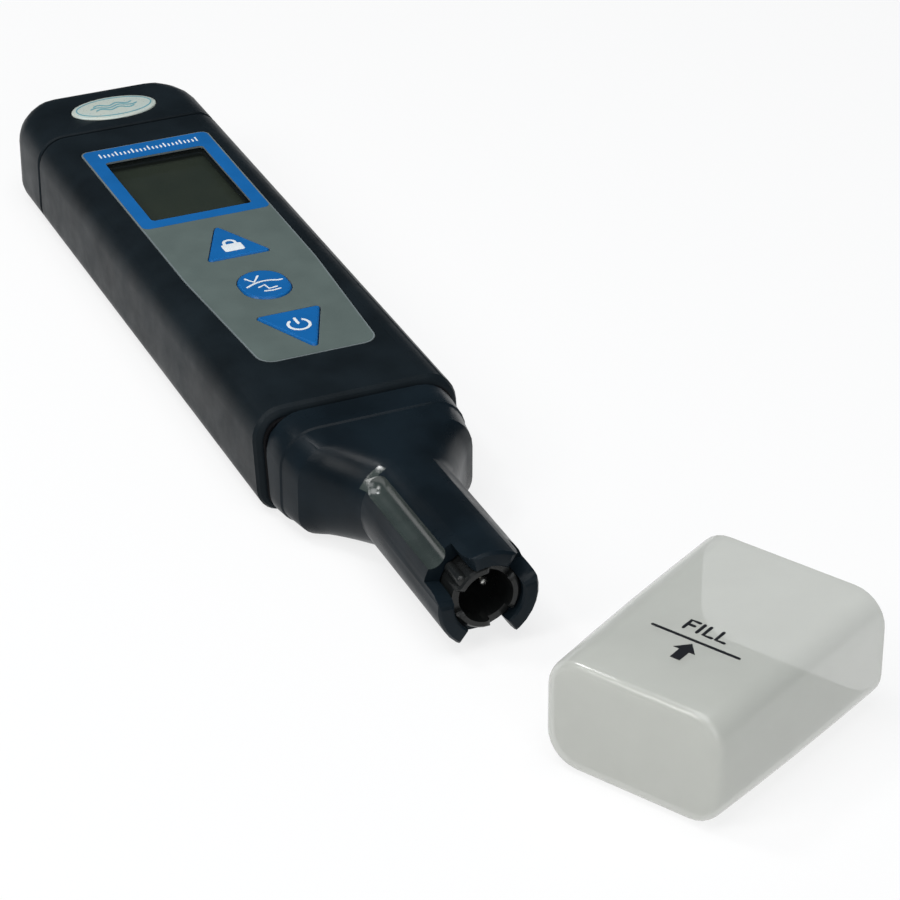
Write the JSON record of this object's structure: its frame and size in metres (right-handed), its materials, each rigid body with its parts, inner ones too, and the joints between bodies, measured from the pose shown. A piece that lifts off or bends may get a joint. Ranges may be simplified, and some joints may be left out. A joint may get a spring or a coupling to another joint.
{
  "type": "pocket water tester pen",
  "caption": "Pocket water tester pen with a flat body, display, press keys, pull-off battery end, plug-in probe with guard prongs, and a loose clear cap.",
  "frame": {"origin": "centre of the housing's flat back face, which the pen lies on", "axes": "+Y along the pen towards the battery end, -Y towards the probe tip, +X across it, +Z out of the front label"},
  "size_m": [0.0662, 0.2441, 0.0198],
  "materials": {
    "black_plastic": "fine satin texture",
    "battery_cap_plastic": "fine satin texture",
    "module_plastic": "satin",
    "sleeve_plastic": "gloss",
    "label_print": "printed film, grey with a blue frame",
    "clear_window": "clear",
    "display_glass": "dark reflective display",
    "holder_plastic": "moulded",
    "white_plastic": "moulded",
    "strip_rubber": "matt",
    "circuit_board": "solder mask",
    "chip": "moulded",
    "switch_metal": "tinned",
    "nickel": "nickel plated",
    "cell_steel": "plated steel",
    "pin_steel": "stainless",
    "badge_silver": "metallic foil",
    "key_rubber": "satin",
    "seal_rubber": "matt",
    "cap_plastic": "translucent moulded plastic"
  },
  "bodies": {
    "pen": {"housing": "black_plastic", "front_label": "label_print", "display_lens": "clear_window", "display_glass": "display_glass", "display_holder": "holder_plastic", "rubber_strip_near": "strip_rubber", "rubber_strip_far": "strip_rubber", "circuit_board": "circuit_board", "processor_chip": "chip", "hold_switch": "switch_metal", "cal_switch": "switch_metal", "power_switch": "switch_metal", "board_spring_minus": "nickel", "board_spring_plus": "nickel", "probe_socket": "white_plastic"},
    "hold": {"hold_key": "key_rubber"},
    "cal": {"cal_key": "key_rubber"},
    "power": {"power_key": "key_rubber"},
    "battery_end": {"battery_cap": "battery_cap_plastic", "badge": "badge_silver", "battery_cap_seal": "seal_rubber", "battery_tray": "white_plastic", "button_cell_1": "cell_steel", "button_cell_2": "cell_steel", "button_cell_3": "cell_steel", "button_cell_4": "cell_steel", "tray_contact_minus": "nickel", "tray_contact_plus": "nickel"},
    "probe": {"probe_module": "module_plastic", "probe_seal": "seal_rubber", "probe_plug": "white_plastic", "sensor_sleeve": "sleeve_plastic", "sensor_core": "sleeve_plastic", "electrode_pin_left": "pin_steel", "electrode_pin_right": "pin_steel", "temperature_bead": "nickel"},
    "storage_cap": {"clear_cap": "cap_plastic"}
  },
  "joints": [
    {"name": "hold_key_press", "type": "slide", "parent": "pen", "child": "hold", "axis": [0, 0, -1], "range_m": [0, 0.0004], "stiffness_N_per_m": 3000},
    {"name": "cal_key_press", "type": "slide", "parent": "pen", "child": "cal", "axis": [0, 0, -1], "range_m": [0, 0.0004], "stiffness_N_per_m": 3000},
    {"name": "power_key_press", "type": "slide", "parent": "pen", "child": "power", "axis": [0, 0, -1], "range_m": [0, 0.0004], "stiffness_N_per_m": 3000},
    {"name": "battery_end_pull", "type": "slide", "parent": "pen", "child": "battery_end", "axis": [0, 1, 0], "range_m": [0, 0.03]},
    {"name": "probe_pull", "type": "slide", "parent": "pen", "child": "probe", "axis": [0, -1, 0], "range_m": [0, 0.02]},
    {"name": "storage_cap_pull", "type": "slide", "parent": "pen", "child": "storage_cap", "axis": [-0.8755, -0.4833, 0], "range_m": [0, 0.06]}
  ]
}
